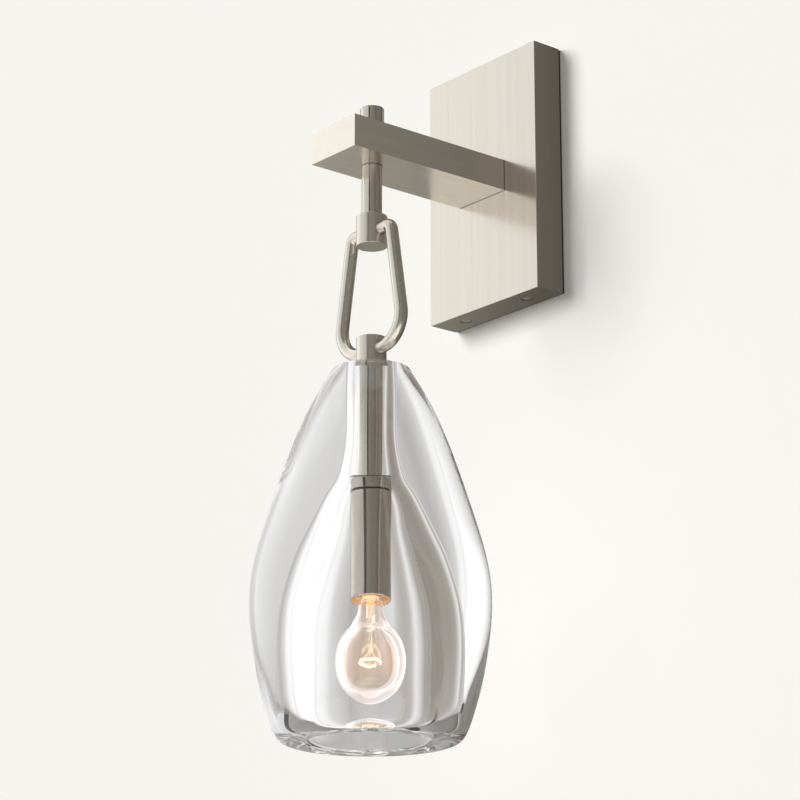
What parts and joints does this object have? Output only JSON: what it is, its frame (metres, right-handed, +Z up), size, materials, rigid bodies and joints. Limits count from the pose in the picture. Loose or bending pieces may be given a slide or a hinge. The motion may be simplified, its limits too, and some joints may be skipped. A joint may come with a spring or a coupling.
{
  "type": "wall sconce",
  "caption": "Wall light with a box arm and a stirrup link that swings, holding a thick clear glass shade over a small lamp.",
  "frame": {"origin": "midpoint of the two box screws, on the wall plane", "axes": "+Z up, +Y into the wall, X along the wall; the sconce stands out towards -Y"},
  "size_m": [0.16, 0.2063, 0.5041],
  "materials": {
    "satin_nickel": "brushed satin nickel plate, lacquered",
    "zinc_steel": "zinc plated steel",
    "brass": "plain brass",
    "nickel_base": "nickel plated brass",
    "black_rubber": "soft black rubber",
    "clear_silicone": "clear silicone",
    "socket_plastic": "pale thermoset moulding",
    "shade_glass": "thick clear cast glass, fire polished",
    "bulb_glass": "thin clear bulb glass",
    "insulator": "black glass insulator",
    "solder": "solder",
    "filament_wire": "glowing tungsten wire",
    "support_wire": "fine molybdenum wire",
    "lead_insulation": "pale insulation",
    "earth_insulation": "green insulation",
    "connector_plastic": "orange moulding"
  },
  "bodies": {
    "root": {"canopy": "satin_nickel", "wall_seal": "black_rubber", "mounting_plate": "zinc_steel", "canopy_screws": "satin_nickel", "earth_screw": "brass", "arm": "satin_nickel", "arm_root_block": "zinc_steel", "arm_washers": "zinc_steel", "arm_bolts": "zinc_steel", "lead_grommet": "black_rubber", "pipe_spacer": "zinc_steel", "stem_pipe": "zinc_steel", "stem_cap": "satin_nickel", "stem_tube": "satin_nickel", "upper_block": "satin_nickel", "arm_leads": "lead_insulation", "earth_lead": "earth_insulation", "wire_connectors": "connector_plastic"},
    "link": {"link_left": "satin_nickel", "link_right": "satin_nickel", "link_top_spigot": "zinc_steel", "link_foot_spigot": "zinc_steel", "link_leads": "lead_insulation"},
    "pendant": {"lower_block": "satin_nickel", "neck_bushing": "satin_nickel", "neck_tube": "satin_nickel", "flange_seal": "clear_silicone", "flange": "satin_nickel", "cup_gap_washer": "black_rubber", "neck_pipe": "zinc_steel", "socket_cup": "satin_nickel", "socket_strap": "zinc_steel", "neck_nut": "brass", "socket_rivets": "brass", "neck_leads": "lead_insulation", "socket_body": "socket_plastic", "screw_shell": "brass", "centre_contact": "brass", "shade_glass": "shade_glass", "bulb_base": "nickel_base", "base_insulator": "insulator", "tip_contact": "solder", "bulb_glass": "bulb_glass", "bulb_mount": "bulb_glass", "filament_supports": "support_wire", "filament": "filament_wire"}
  },
  "joints": [
    {"name": "link_swing", "type": "hinge", "parent": "root", "child": "link", "pos_m": [0, -0.1263, -0.0594], "axis": [1, 0, 0], "range_deg": [-30, 5]},
    {"name": "shade_swing", "type": "hinge", "parent": "link", "child": "pendant", "pos_m": [0, -0.1263, -0.1446], "axis": [1, 0, 0], "range_deg": [-25, 5]}
  ]
}
